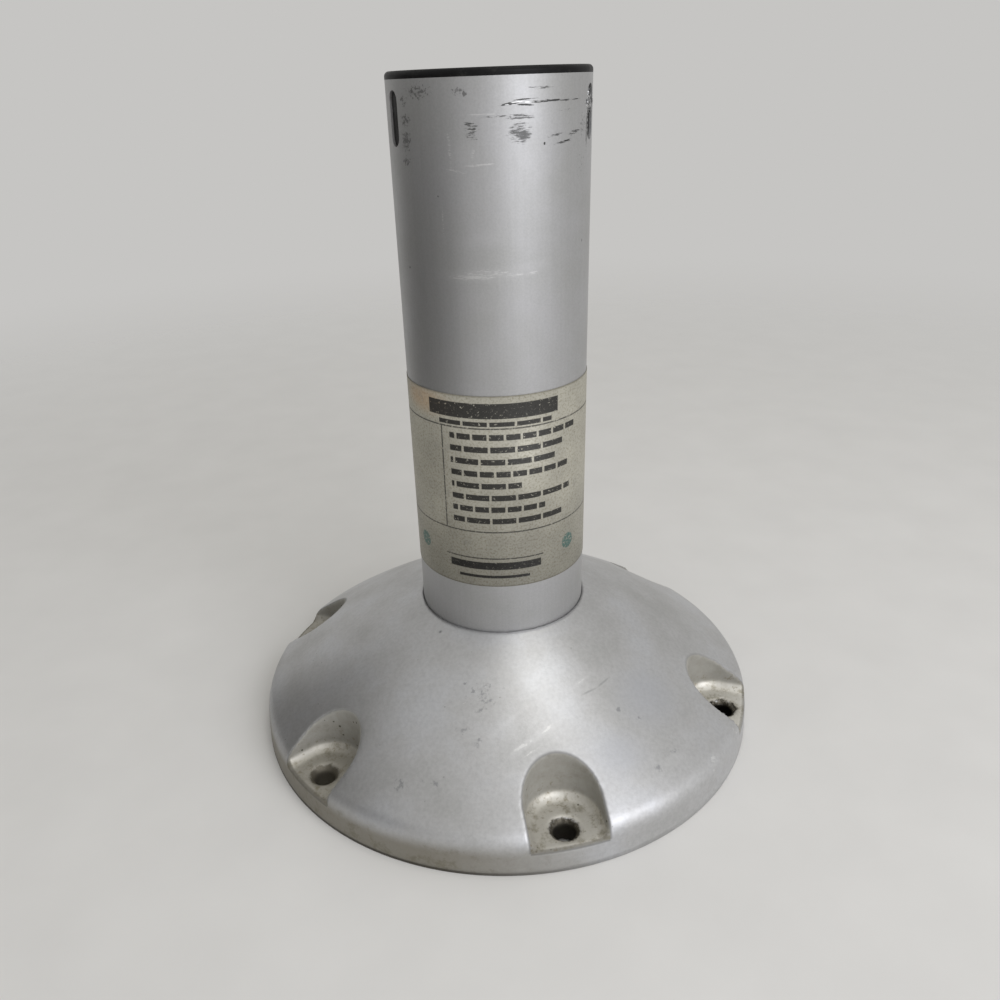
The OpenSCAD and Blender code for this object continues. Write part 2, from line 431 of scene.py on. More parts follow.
        # edge and lip of the pockets, which take painted shade and a rougher finish
        edge = add(tree, Kind.RANGE, {0: from_slot, 1: self.pocket_r - 0.7, 2: self.pocket_r})
        edge = times(tree, edge, add(tree, Kind.RANGE, {0: from_slot, 1: self.pocket_r + 1.5, 2: self.pocket_r + 0.4}))
        lip = times(
            tree,
            add(tree, Kind.RANGE, {0: from_slot, 1: self.pocket_r + 0.8, 2: self.pocket_r}),
            add(tree, Kind.RANGE, {0: radius, 1: 111.8, 2: 112.8}),
            add(tree, Kind.RANGE, {0: z, 1: self.floor - 1.7, 2: self.floor - 0.9}),
        )
        edge = add(tree, Kind.MATH, {0: times(tree, edge, above), 1: lip}, operation="MAXIMUM")
        # the worn edge of the countersink wanders by about 1 mm
        worn = add(tree, Kind.NOISE, {"Vector": place_at, "Scale": per_metre(2.5), "Detail": 4.0, "Roughness": 0.65})
        worn = add(tree, Kind.RANGE, {0: worn, 1: 0.2, 2: 0.8, 3: -1.2, 4: 1.6}, interpolation_type="LINEAR")
        from_hole = add(tree, Kind.MATH, {0: from_hole, 1: worn}, operation="ADD")
        bore = add(tree, Kind.RANGE, {0: from_hole, 1: self.hole_r + 0.6, 2: self.hole_r - 0.5})
        # share of the left side, which carries the painted shade on the rim and the painted contact shadow
        left = add(tree, Kind.RANGE, {0: x, 1: 30.0, 2: -60.0})
        return pocket, edge, bore, left, z


@dataclass(frozen=True)
class AnodisedTube:
    """Clear anodised drawn aluminium: smooth, satin and a little grey, with rubs near the top."""

    radius: float = 36.5
    # black rubs, broken into short streaks round the post
    rubs: tuple[Mark, ...] = (
        Mark(9.6, 251.9, 5.4, 4.4, -0.1, 0.64),
        Mark(11.0, 251.2, 3.4, 2.6, -0.2, 0.8),
        Mark(-6.1, 253.0, 3.6, 3.8, 0.0, 0.56),
        Mark(-7.0, 255.0, 1.8, 1.3, 0.0, 0.64),
        Mark(9.8, 256.5, 6.8, 1.1, 0.0, 0.66),
        Mark(2.0, 256.8, 8.0, 0.5, 0.0, 0.52),
        Mark(23.0, 250.6, 5.0, 0.7, 0.1, 0.58),
        Mark(26.4, 248.2, 5.4, 0.7, 0.14, 0.68),
        Mark(32.5, 250.9, 5.0, 1.2, 0.15, 0.62),
        Mark(17.5, 264.6, 7.0, 0.6, 0.02, 0.62),
        Mark(24.0, 268.0, 5.0, 0.5, 0.02, 0.4),
        Mark(27.5, 257.8, 4.0, 0.6, 0.0, 0.42),
    )
    # hard dark edges of the gouge with its long tail, and one dent
    cuts: tuple[Mark, ...] = (
        Mark(6.4, 260.3, 4.4, 0.6, 0.1, 0.8),
        Mark(11.6, 259.9, 4.2, 0.42, -0.05, 0.8),
        Mark(12.4, 261.5, 5.0, 0.34, 0.04, 0.75),
        Mark(20.0, 260.7, 9.5, 0.5, 0.03, 0.76),
        Mark(29.0, 260.7, 8.0, 0.42, 0.02, 0.7),
        Mark(18.6, 248.2, 0.55, 0.6, 0.0, 1.0),
        Mark(28.5, 248.6, 2.6, 0.34, 0.14, 0.88),
    )
    # grey specks beside the slots and under the flange
    specks: tuple[Mark, ...] = (
        Mark(-25.5, 264.6, 8.0, 3.4, 0.0, 0.54),
        Mark(-33.0, 262.0, 3.0, 3.0, 0.0, 0.5),
        Mark(-10.0, 264.4, 3.2, 2.0, 0.0, 0.5),
        Mark(-8.0, 263.6, 1.1, 1.1, 0.0, 0.8),
        Mark(-32.4, 256.0, 3.6, 3.0, 0.0, 0.62),
        Mark(-32.6, 250.0, 4.0, 4.6, 0.0, 0.66),
        Mark(-33.0, 243.6, 3.0, 2.6, 0.0, 0.6),
        Mark(38.0, 253.0, 4.0, 6.0, 0.0, 0.42),
        Mark(41.6, 251.0, 0.9, 7.0, 0.0, 0.9),
        Mark(37.0, 240.0, 5.0, 6.0, 0.0, 0.3),
        Mark(39.0, 215.0, 0.6, 0.6, 0.0, 0.9),
        Mark(-36.0, 208.0, 0.6, 0.6, 0.0, 0.9),
        Mark(-19.0, 233.0, 0.5, 0.4, 0.0, 0.8),
    )
    # pale scuffs and thin pale lines
    scuffs: tuple[Mark, ...] = (
        Mark(-8.0, 206.6, 12.0, 1.3, 0.02, 0.66),
        Mark(-4.0, 207.6, 15.0, 2.4, 0.02, 0.5),
        Mark(10.0, 207.2, 11.0, 1.2, 0.05, 0.5),
        Mark(-12.0, 241.0, 4.5, 0.6, -0.2, 0.64),
        Mark(-4.0, 242.6, 9.0, 0.55, 0.06, 0.62),
        Mark(-13.8, 246.5, 0.9, 8.0, 0.06, 0.56),
        Mark(-6.0, 246.0, 0.9, 2.6, -0.3, 0.46),
        Mark(-2.0, 257.6, 12.0, 0.32, 0.0, 0.6),
        Mark(-17.6, 226.0, 0.4, 9.0, 0.0, 0.52),
        Mark(-5.8, 253.0, 2.6, 0.32, 0.0, 0.85),
    )
    # faint pale haze, without streaks
    haze: tuple[Mark, ...] = (
        Mark(-4.0, 207.4, 17.0, 2.6, 0.02, 0.5),
        Mark(-9.0, 246.0, 5.0, 5.0, 0.0, 0.4),
        Mark(12.0, 209.4, 14.0, 2.0, 0.06, 0.3),
        Mark(-4.0, 219.0, 9.0, 3.0, 0.1, 0.25),
    )
    # bright bare metal in the gouge
    bright: tuple[Mark, ...] = (
        Mark(9.2, 260.8, 3.0, 0.3, 0.1, 0.75),
        Mark(12.6, 260.6, 2.0, 0.22, -0.05, 0.7),
        Mark(5.6, 260.1, 1.2, 0.18, 0.0, 0.6),
    )

    def build(self) -> bpy.types.Material:
        """Build the material.

        Returns:
            The finished material.
        """
        coat = Coat("anodised_drawn_aluminium")
        tree = coat.tree
        place_at = add(tree, Kind.PLACE, out="Object")
        turned = add(tree, Kind.MAPPING, {"Vector": place_at, "Rotation": (0.0, 0.0, math.radians(-CAMERA_SIDE))})
        scaled = add(tree, Kind.VECTOR, {0: turned, "Scale": 1 / MM}, operation="SCALE")
        x, y, z = add(tree, Kind.SPLIT, {0: scaled}).node.outputs
        angle = add(tree, Kind.MATH, {0: y, 1: x}, operation="ARCTAN2")
        around = add(tree, Kind.MATH, {0: angle, 1: self.radius}, operation="MULTIPLY")
        # one unit of this vector is one millimetre round or up the post
        surface = add(tree, Kind.JOIN, {0: around, 1: z, 2: 0.0})
        # soft clouds of handling, about 25 mm across, on Object coordinates so that they close behind the post
        cloud = add(tree, Kind.NOISE, {"Vector": place_at, "Scale": per_metre(25), "Detail": 4.0, "Roughness": 0.55})
        coat.base = add(tree, Kind.RAMP, {0: cloud}, stops=((0.35, "#b2b2b1"), (0.65, "#b9b9ba")))
        # etched grain of the anodising, drawn at 0.7 mm because 0.1 mm would not show
        grain = add(tree, Kind.NOISE, {"Vector": place_at, "Scale": per_metre(0.7), "Detail": 3.0, "Roughness": 0.6})
        coat.lay(0.2, add(tree, Kind.RAMP, {0: grain}, stops=((0.34, "#cfcfcf"), (0.62, "#ffffff"))), "MULTIPLY")
        # faint die lines up the post, about 1.5 mm apart
        die = add(tree, Kind.MAPPING, {"Vector": surface, "Scale": (0.7, 0.012, 1.0)})
        die = add(tree, Kind.NOISE, {"Vector": die, "Scale": 1.0, "Detail": 3.0, "Roughness": 0.6})
        coat.lay(0.05, add(tree, Kind.RAMP, {0: die}, stops=((0.35, "#a0a0a0"), (0.65, "#ffffff"))), "MULTIPLY")
        # rubbed streaks are 3 mm long and 0.5 mm high, specks 1 mm
        streak = add(tree, Kind.MAPPING, {"Vector": surface, "Scale": (0.32, 1.9, 1.0)})
        streak = add(tree, Kind.NOISE, {"Vector": streak, "Scale": 1.0, "Detail": 5.0, "Roughness": 0.7})
        fleck = add(tree, Kind.NOISE, {"Vector": surface, "Scale": 0.95, "Detail": 4.0, "Roughness": 0.72})
        coat.lay(times(tree, marked(tree, surface, self.scuffs, streak), 0.36), "#e6e6e4")
        # the haze round the widest scuffs
        coat.lay(times(tree, marked(tree, surface, self.haze), 0.3), "#d2d2d4")
        rubbed = marked(tree, surface, self.rubs, streak)
        coat.lay(times(tree, rubbed, 0.78), "#3c3c3b")
        coat.lay(times(tree, marked(tree, surface, self.specks, fleck), 0.6), "#4a4a48")
        cut_in = marked(tree, surface, self.cuts, streak)
        coat.lay(times(tree, cut_in, 0.9), "#2c2c2b")
        coat.lay(marked(tree, surface, self.bright, streak), "#f8f8f8")
        gloss = add(tree, Kind.RANGE, {0: cloud, 1: 0.3, 2: 0.7, 3: 0.52, 4: 0.48})
        dug = add(tree, Kind.MATH, {0: times(tree, grain, 0.25), 1: cut_in}, operation="SUBTRACT")
        return coat.finish(0.85, gloss, dug, 0.3, 0.2)


@dataclass(frozen=True)
class TornAluminium:
    """Torn bare aluminium: bright, with painted shade in its folds."""

    def build(self) -> bpy.types.Material:
        """Build the material.

        Returns:
            The finished material.
        """
        coat = Coat("torn_bare_aluminium")
        place_at = add(coat.tree, Kind.PLACE, out="Object")
        # folds in the torn metal, about 1.2 mm apart
        folds = add(coat.tree, Kind.NOISE, {"Vector": place_at, "Scale": per_metre(1.2), "Detail": 5.0, "Roughness": 0.65})
        # painted shade in the low parts of the folds, where the colour follows the relief
        coat.base = add(coat.tree, Kind.RAMP, {0: folds}, stops=((0.42, "#2a2a2a"), (0.5, "#8d8e90"), (0.62, "#e2e2e2")))
        return coat.finish(1.0, 0.34, folds, 0.8, 0.5)


@dataclass(frozen=True)
class MouldedNylon:
    """Moulded black nylon: near black, with a soft sheen and a little grey rubbing."""

    def build(self) -> bpy.types.Material:
        """Build the material.

        Returns:
            The finished material.
        """
        coat = Coat("moulded_black_nylon")
        tree = coat.tree
        place_at = add(tree, Kind.PLACE, out="Object")
        # grey rubbing, about 5 mm across, and mould grain drawn at 0.8 mm so that it shows
        rub = add(tree, Kind.NOISE, {"Vector": place_at, "Scale": per_metre(5), "Detail": 6.0, "Roughness": 0.7})
        grain = add(tree, Kind.NOISE, {"Vector": place_at, "Scale": per_metre(0.8), "Detail": 2.0})
        coat.base = add(tree, Kind.RAMP, {0: rub}, stops=((0.4, "#0a0a0b"), (0.6, "#121212"), (0.78, "#33322f")))
        gloss = add(tree, Kind.RANGE, {0: rub, 1: 0.3, 2: 0.7, 3: 0.38, 4: 0.55})
        coat.shader.inputs["Specular IOR Level"].default_value = 0.15
        return coat.finish(0.0, gloss, grain, 0.2, 0.1)


@dataclass(frozen=True)
class Field:
    """A printed field of the label, in millimetres from its lower left corner."""

    left: float
    low: float
    right: float
    high: float


@dataclass(frozen=True)
class AgedFilm:
    """Printed vinyl film: aged beige, speckled, with worn black rules and bars."""

    width: float
    height: float
    # middle of the top row of bars, and the distance from row to row
    top_row: float = 66.1
    row_pitch: float = 5.1

    def rules(self) -> list[Field]:
        """Thin rules of the print.

        Returns:
            The printed rules.
        """
        mid = self.width / 2
        return [
            Field(2.0, 69.3, self.width - 2.0, 69.9),
            Field(2.0, 25.1, self.width - 2.0, 25.7),
            Field(mid - 20.4, 25.6, mid - 19.8, 69.6),
            Field(mid - 21.0, 12.9, mid + 21.0, 13.5),
        ]

    def blocks(self) -> list[Field]:
        """Heading bar and foot bars.

        Returns:
            The printed bars.
        """
        mid = self.width / 2
        return [
            Field(mid - 26.0, 73.6, mid + 28.0, 79.6),
            Field(mid - 19.0, 8.0, mid + 20.0, 11.4),
            Field(mid - 15.0, 4.0, mid + 15.0, 5.3),
        ]

    def rows(self) -> list[Field]:
        """Rows of broken bars.

        Returns:
            The rows, which the gaps between the bars then cut up.
        """
        mid = self.width / 2
        found = [Field(mid - 22.0, 70.5, mid + 25.0, 72.3)]
        for row, end in enumerate((38.0, 31.4, 27.0, 34.4, 12.0, 35.0, 22.0, 31.0)):
            top = self.top_row + 1.2 - row * self.row_pitch
            found.append(Field(mid - 16.5, top - 2.4, mid + end, top))
        return found

    def build(self) -> bpy.types.Material:
        """Build the material.

        Returns:
            The finished material.
        """
        coat = Coat("printed_vinyl_film")
        tree = coat.tree
        flat = add(tree, Kind.UV, uv_map="flat")
        # one unit of this vector is one millimetre on the label
        surface = add(tree, Kind.VECTOR, {0: flat, 1: (self.width, self.height, 0.0)}, operation="MULTIPLY")
        cloud = add(tree, Kind.NOISE, {"Vector": surface, "Scale": 0.06, "Detail": 4.0, "Roughness": 0.6})
        coat.base = add(tree, Kind.RAMP, {0: cloud}, stops=((0.35, "#a19e92"), (0.65, "#b0ada0")))
        # age specks, about 0.9 mm
        speck = add(tree, Kind.NOISE, {"Vector": surface, "Scale": 1.1, "Detail": 4.0, "Roughness": 0.65})
        coat.lay(0.5, add(tree, Kind.RAMP, {0: speck}, stops=((0.34, "#a59c86"), (0.52, "#ffffff"))), "MULTIPLY")
        mid = self.width / 2
        # orange-brown stain at the upper left, and rubbed grey patches
        stain = marked(tree, surface, (Mark(mid - 30.0, 78.0, 15.0, 6.0, 0.0, 0.8),))
        coat.lay(times(tree, stain, 0.5), "#ad8452")
        worn = add(tree, Kind.NOISE, {"Vector": surface, "Scale": 0.16, "Detail": 5.0, "Roughness": 0.7})
        coat.lay(times(tree, add(tree, Kind.RANGE, {0: worn, 1: 0.55, 2: 0.7}), 0.45), "#8d8b82")
        # ink that has flaked in spots of about 1 mm
        flake = add(tree, Kind.NOISE, {"Vector": surface, "Scale": 0.75, "Detail": 5.0, "Roughness": 0.75})
        kept = add(tree, Kind.RANGE, {0: flake, 1: 0.35, 2: 0.42})
        bars = times(tree, self.printed(tree, surface, self.rows()), self.gaps(tree, surface))
        bars = add(tree, Kind.MATH, {0: bars, 1: self.printed(tree, surface, self.blocks())}, operation="MAXIMUM")
        coat.lay(times(tree, bars, kept, 0.95), "#1d1c1b")
        thin = times(tree, self.printed(tree, surface, self.rules()), add(tree, Kind.RANGE, {0: flake, 1: 0.38, 2: 0.46}))
        coat.lay(times(tree, thin, 0.85), "#2f2e2b")
        discs = (Mark(mid - 35.0, 14.5, 4.0, 4.0, 0.0, 1.0), Mark(mid + 34.5, 14.5, 4.0, 4.0, 0.0, 1.0))
        round_ink = add(tree, Kind.RANGE, {0: marked(tree, surface, discs), 1: 0.3, 2: 0.4})
        rubbed_off = add(tree, Kind.RANGE, {0: flake, 1: 0.4, 2: 0.5})
        coat.lay(times(tree, round_ink, rubbed_off, 0.85), "#3f706a")
        # darker line along the edges
        edge = add(tree, Kind.VECTOR, {0: flat, 1: (0.5, 0.5, 0.0)}, operation="SUBTRACT")
        edge = add(tree, Kind.VECTOR, {0: edge}, operation="ABSOLUTE")
        edge = add(tree, Kind.VECTOR, {0: edge, 1: (self.width, self.height, 0.0)}, operation="MULTIPLY")
        edge = add(tree, Kind.VECTOR, {0: edge, 1: (mid, self.height / 2, 0.0)}, operation="SUBTRACT")
        side, end, _ = add(tree, Kind.SPLIT, {0: edge}).node.outputs
        edge = add(tree, Kind.MATH, {0: side, 1: end}, operation="MAXIMUM")
        coat.lay(times(tree, add(tree, Kind.RANGE, {0: edge, 1: -0.9, 2: -0.1}), 0.6), "#6e6a5c")
        gloss = add(tree, Kind.RANGE, {0: speck, 1: 0.3, 2: 0.7, 3: 0.62, 4: 0.46})
        return coat.finish(0.3, gloss, speck, 0.15, 0.1)

    def gaps(self, tree: bpy.types.NodeTree, surface: Socket) -> Socket:
        """Upright gaps that break the rows into bars of different lengths.

        Args:
            tree: Tree that takes the nodes.
            surface: Place on the label in millimetres.

        Returns:
            Share from 0 in a gap to 1 on a bar.
        """
        half_row = self.row_pitch / 2 - self.top_row % self.row_pitch
        shifted = add(tree, Kind.VECTOR, {0: surface, 1: (0.0, half_row, 0.0)}, operation="ADD")
        return add(
            tree,
            Kind.BRICKS,
            {
                "Vector": shifted,
                "Color1": "#ffffff",
                "Color2": "#ffffff",
                "Mortar": "#000000",
                "Scale": 1.0,
                "Mortar Size": 0.5,
                "Mortar Smooth": 0.1,
                "Brick Width": 10.5,
                "Row Height": self.row_pitch,
            },
            offset=0.37,
            offset_frequency=2,
            squash=0.62,
            squash_frequency=3,
        )

    def printed(self, tree: bpy.types.NodeTree, surface: Socket, fields: Sequence[Field]) -> Socket:
        """Share of ink in a set of fields.

        Args:
            tree: Tree that takes the nodes.
            surface: Place on the label in millimetres.
            fields: The printed fields.

        Returns:
            Share of ink.
        """
        total = None
        for area in fields:
            middle = ((area.left + area.right) / 2, (area.low + area.high) / 2, 0.0)
            half = ((area.right - area.left) / 2, (area.high - area.low) / 2, 1.0)
            local = add(tree, Kind.VECTOR, {0: surface, 1: middle}, operation="SUBTRACT")
            local = add(tree, Kind.VECTOR, {0: local}, operation="ABSOLUTE")
            local = add(tree, Kind.VECTOR, {0: local, 1: half}, operation="SUBTRACT")
            wide, high, _ = add(tree, Kind.SPLIT, {0: local}).node.outputs
            outside = add(tree, Kind.MATH, {0: wide, 1: high}, operation="MAXIMUM")
            inside = add(tree, Kind.RANGE, {0: outside, 1: 0.12, 2: -0.12})
            total = inside if total is None else add(tree, Kind.MATH, {0: total, 1: inside}, operation="MAXIMUM")
        return total

@dataclass
class BaseCasting:
    """Cast dome base with its bolt pockets, sizes in millimetres."""

    radius: float = 114.3
    hub_top: float = 59.0
    rim_top: float = 15.2
    rim_lean: float = 1.0
    rim_round: float = 9.0
    bulge: float = 2.4
    shell: float = 5.0
    socket: float = 36.55
    socket_wall: float = 5.5
    ledge: float = 5.0
    ledge_r: float = 31.5
    rib: float = 4.0
    rib_lift: float = 2.0
    bolt_count: int = 6
    bolt_r: float = 103.8
    pocket_back: float = 2.0
    hole: float = 4.3
    sink: float = 6.3
    sink_h: float = 2.6
    pocket: float = 15.3
    pocket_floor: float = 10.8
    pocket_round: float = 4.5
    pocket_wall: float = 4.0
    voxel: float = 1.0
    # share of the skin's triangles that is kept
    kept_faces: float = 0.41
    # turn of the round tools in degrees, so that no edge of theirs meets an edge of the body
    tool_turn: float = 0.31
    # height and width of the zone at the rim's lower edge that is brought back to a circle
    edge_high: float = 3.0
    edge_low: float = 0.7
    edge_wide: float = 1.9
    finish: CastAluminium = field(default_factory=CastAluminium)

    def dome_arc(self) -> tuple[Vector, float]:
        """Centre and radius of the dome's section, in the XZ plane.

        Returns:
            The centre and the radius.
        """
        start = Vector((self.socket, 0.0, self.hub_top))
        end = Vector((self.radius - self.rim_lean, 0.0, self.rim_top))
        chord = (end - start).length
        run = (end - start) / chord
        radius = chord * chord / (8 * self.bulge) + self.bulge / 2
        inward = Vector((run.z, 0.0, -run.x))
        return (start + end) / 2 + inward * (radius - self.bulge), radius

    def rim_arc(self) -> Vector:
        """Centre of the round between the rim band and the dome.

        Returns:
            The centre, in the XZ plane.
        """
        centre, radius = self.dome_arc()
        up = Vector((-self.rim_lean, 0.0, self.rim_top)).normalized()
        inward = Vector((-up.z, 0.0, up.x))
        start = Vector((self.radius, 0.0, 0.0)) + inward * self.rim_round
        gap = start - centre
        half = gap.dot(up)
        rest = gap.dot(gap) - (radius - self.rim_round) ** 2
        return start + up * (-half + math.sqrt(half * half - rest))

    def section(self, bm: bmesh.types.BMesh, points: list[tuple[float, float]]) -> list:
        """Chain of edges through points of a section.

        Args:
            bm: Mesh that takes the chain.
            points: Distance from the axis and height of each point.

        Returns:
            The vertices and edges.
        """
        verts = [bm.verts.new((x, 0.0, z)) for x, z in points]
        edges = [bm.edges.new(pair) for pair in zip(verts, verts[1:])]
        return verts + edges

    def sweep_arc(self, centre: Vector, start: Vector, end: Vector, steps: int) -> list[tuple[float, float]]:
        """Points of an arc from start to end, in the XZ plane.

        Args:
            centre: Centre of the arc.
            start: First point.
            end: Last point.
            steps: Number of parts.

        Returns:
            Distance from the axis and height of each point.
        """
        first, last = start - centre, end - centre
        turn = first.angle(last) * (1 if first.cross(last).y > 0 else -1)
        found = []
        for i in range(steps + 1):
            spot = centre + Matrix.Rotation(turn * i / steps, 3, "Y") @ first
            found.append((spot.x, spot.z))
        return found

    def spun(self, name: str, points: list[tuple[float, float]], steps: int = 240, closed: bool = False) -> bpy.types.Object:
        """Turn a section round the post's axis.

        Args:
            name: Name of the object.
            points: Section, as distance from the axis and height.
            steps: Number of parts round the axis.
            closed: True for a ring whose section returns to its start.

        Returns:
            The turned solid, in millimetres.
        """
        bm = bmesh.new()
        self.section(bm, points + points[:1] if closed else points)
        bmesh.ops.remove_doubles(bm, verts=bm.verts, dist=1e-4)
        bmesh.ops.spin(
            bm,
            geom=bm.verts[:] + bm.edges[:],
            cent=(0, 0, 0),
            axis=(0, 0, 1),
            angle=2 * math.pi,
            steps=steps,
            use_merge=True,
        )
        bmesh.ops.remove_doubles(bm, verts=bm.verts, dist=1e-4)
        bmesh.ops.recalc_face_normals(bm, faces=bm.faces)
        return as_object(name, bm)

    def dome(self) -> bpy.types.Object:
        """Solid dome with its rim band.

        Returns:
            The dome, in millimetres.
        """
        centre, radius = self.dome_arc()
        rim = self.rim_arc()
        top = Vector((self.socket, 0.0, self.hub_top))
        meet = centre + (rim - centre) * radius / (radius - self.rim_round)
        up = Vector((-self.rim_lean, 0.0, self.rim_top)).normalized()
        side = rim + Vector((up.z, 0.0, -up.x)) * self.rim_round
        points = [(0.0, self.hub_top)]
        points += self.sweep_arc(centre, top, meet, 40)
        points += self.sweep_arc(rim, meet, side, 12)[1:]
        points += [(self.radius, 0.0), (0.0, 0.0)]
        return self.spun("dome", points)

    def hollow(self) -> bpy.types.Object:
        """Space under the dome.

        Returns:
            The ring of space, in millimetres.
        """
        centre, radius = self.dome_arc()
        inner = radius - self.shell
        near = self.socket + self.socket_wall
        far = self.radius - self.shell - self.rim_lean
        ends = [Vector((x, 0.0, centre.z + math.sqrt(inner**2 - (x - centre.x) ** 2))) for x in (near, far)]
        points = [(near, -1.0)] + self.sweep_arc(centre, ends[0], ends[1], 24) + [(far, -1.0)]
        return self.spun("hollow", points, closed=True)

    def socket_cut(self) -> bpy.types.Object:
        """Space of the socket and of the opening in its ledge.

        Returns:
            The space, in millimetres.
        """
        mouth = self.hub_top - 0.6
        points = [(0.0, -1.0), (self.ledge_r, -1.0), (self.ledge_r, self.ledge), (self.socket, self.ledge)]
        points += [(self.socket, mouth), (self.socket + 1.2, self.hub_top + 0.6), (self.socket + 1.2, 90.0), (0.0, 90.0)]
        return self.spun("socket", points)

    def hole_cut(self, bm: bmesh.types.BMesh) -> None:
        """Add the space of one bolt hole with its countersink to a mesh.

        Args:
            bm: Mesh that takes the space, with the hole on the Z axis.
        """
        old = set(bm.verts)
        floor = self.pocket_floor
        points = [(0.0, -1.0), (self.hole, -1.0), (self.hole, floor - self.sink_h), (self.sink, floor), (self.sink, floor + 2), (0.0, floor + 2)]
        geom = self.section(bm, points)
        bmesh.ops.spin(bm, geom=geom, cent=(0, 0, 0), axis=(0, 0, 1), angle=2 * math.pi, steps=48, use_merge=True)
        bmesh.ops.remove_doubles(bm, verts=[v for v in bm.verts if v not in old], dist=1e-4)

    def pocket_length(self) -> float:
        """Length from the middle of a pocket's round end to just past the rim."""
        return self.radius - self.bolt_r + self.pocket_back + 5.0

    def pocket_cut(self) -> bpy.types.Object:
        """Space above one bolt pocket, open towards the rim, at the first bolt.

        Returns:
            The space, in millimetres, with its bolt on the Z axis.
        """
        bm = bmesh.new()
        floor, turn = self.pocket_floor, self.pocket_round
        centre = Vector((self.pocket - turn, 0.0, floor + turn))
        points = [(0.0, floor)] + self.sweep_arc(centre, centre + Vector((0, 0, -turn)), centre + Vector((turn, 0, 0)), 8)
        points += [(self.pocket, 90.0), (0.0, 90.0)]
        chain = self.section(bm, points)
        bmesh.ops.rotate(bm, verts=bm.verts, cent=(0, 0, 0), matrix=Matrix.Rotation(math.pi / 2, 3, "Z"))
        bmesh.ops.spin(bm, geom=chain, cent=(0, 0, 0), axis=(0, 0, 1), angle=math.pi, steps=40)
        bmesh.ops.remove_doubles(bm, verts=bm.verts, dist=1e-4)
        border = [e for e in bm.edges if e.is_boundary]
        grown = bmesh.ops.extrude_edge_only(bm, edges=border)["geom"]
        moved = [g for g in grown if isinstance(g, bmesh.types.BMVert)]
        bmesh.ops.translate(bm, verts=moved, vec=(self.pocket_length(), 0.0, 0.0))
        bmesh.ops.holes_fill(bm, edges=[e for e in bm.edges if e.is_boundary], sides=0)
        bmesh.ops.recalc_face_normals(bm, faces=bm.faces)
        return as_object("pocket", bm)

    def repeat(self, source: bpy.types.Object, first: float, shift: float) -> bpy.types.Object:
        """Copies of a solid round the base, as one object.

        Args:
            source: Solid at the axis, which is removed.
            first: Direction of the first copy in degrees.
            shift: Distance of each copy from the axis.

        Returns:
            All the copies together.
        """
        bm = bmesh.new()
        for i in range(self.bolt_count):
            old = set(bm.verts)
            bm.from_mesh(source.data)
            fresh = [v for v in bm.verts if v not in old]
            bmesh.ops.translate(bm, verts=fresh, vec=(shift, 0.0, 0.0))
            turn = math.radians(first + i * 360 / self.bolt_count)
            bmesh.ops.rotate(bm, verts=fresh, cent=(0, 0, 0), matrix=Matrix.Rotation(turn, 3, "Z"))
        name = source.name + "s"
        bpy.data.objects.remove(source)
        return as_object(name, bm)

    def boss(self) -> bpy.types.Object:
        """Body under one bolt pocket.

        Returns:
            The body, in millimetres, with its bolt on the Z axis.
        """
        bm = bmesh.new()
        radius = self.pocket + self.pocket_wall
        points = [(0.0, -2.0), (radius, -2.0), (radius, 80.0), (0.0, 80.0)]
        chain = self.section(bm, points)
        bmesh.ops.rotate(bm, verts=bm.verts, cent=(0, 0, 0), matrix=Matrix.Rotation(math.pi / 2, 3, "Z"))
        bmesh.ops.spin(bm, geom=chain, cent=(0, 0, 0), axis=(0, 0, 1), angle=math.pi, steps=40)
        bmesh.ops.remove_doubles(bm, verts=bm.verts, dist=1e-4)
        grown = bmesh.ops.extrude_edge_only(bm, edges=[e for e in bm.edges if e.is_boundary])["geom"]
        bmesh.ops.translate(bm, verts=[g for g in grown if isinstance(g, bmesh.types.BMVert)], vec=(self.pocket_length(), 0.0, 0.0))
        bmesh.ops.holes_fill(bm, edges=[e for e in bm.edges if e.is_boundary], sides=0)
        bmesh.ops.recalc_face_normals(bm, faces=bm.faces)
        return as_object("boss", bm)

    def rib_bar(self) -> bpy.types.Object:
        """One rib under the dome.

        Returns:
            The rib, in millimetres, centred on the Z axis.
        """
        bm = bmesh.new()
        bmesh.ops.create_cube(bm, size=1.0)
        length = self.radius - self.socket - self.socket_wall - 2.0
        bmesh.ops.scale(bm, verts=bm.verts, vec=(length, self.rib, self.hub_top))
        bmesh.ops.translate(bm, verts=bm.verts, vec=(0.0, 0.0, self.hub_top / 2 + self.rib_lift))
        return as_object("rib", bm)

    def skin(self, body: bpy.types.Object) -> None:
        """Give the cut body one soft cast skin, with no more faces than its shape needs.

        Args:
            body: The cut body, in millimetres.
        """
        skin = body.modifiers.new("skin", "REMESH")
        skin.mode = "VOXEL"
        skin.voxel_size = self.voxel
        soften = body.modifiers.new("soften", "SMOOTH")
        soften.factor = 0.5
        soften.iterations = 2
        settle(body)
        self.true_rim(body.data)
        thin = body.modifiers.new("thin", "DECIMATE")
        thin.ratio = self.kept_faces
        settle(body)

    def true_rim(self, mesh: bpy.types.Mesh) -> None:
        """Bring the lower edge of the rim back to its true circle after the softening.

        Args:
            mesh: Mesh of the casting, in millimetres.
        """
        for vert in mesh.vertices:
            reach = vert.co.xy.length
            if vert.co.z < self.edge_high and reach > self.radius - self.edge_wide:
                vert.co.z = 0.0 if vert.co.z < self.edge_low else vert.co.z
                vert.co.xy *= (self.radius - self.rim_lean * vert.co.z / self.rim_top) / reach

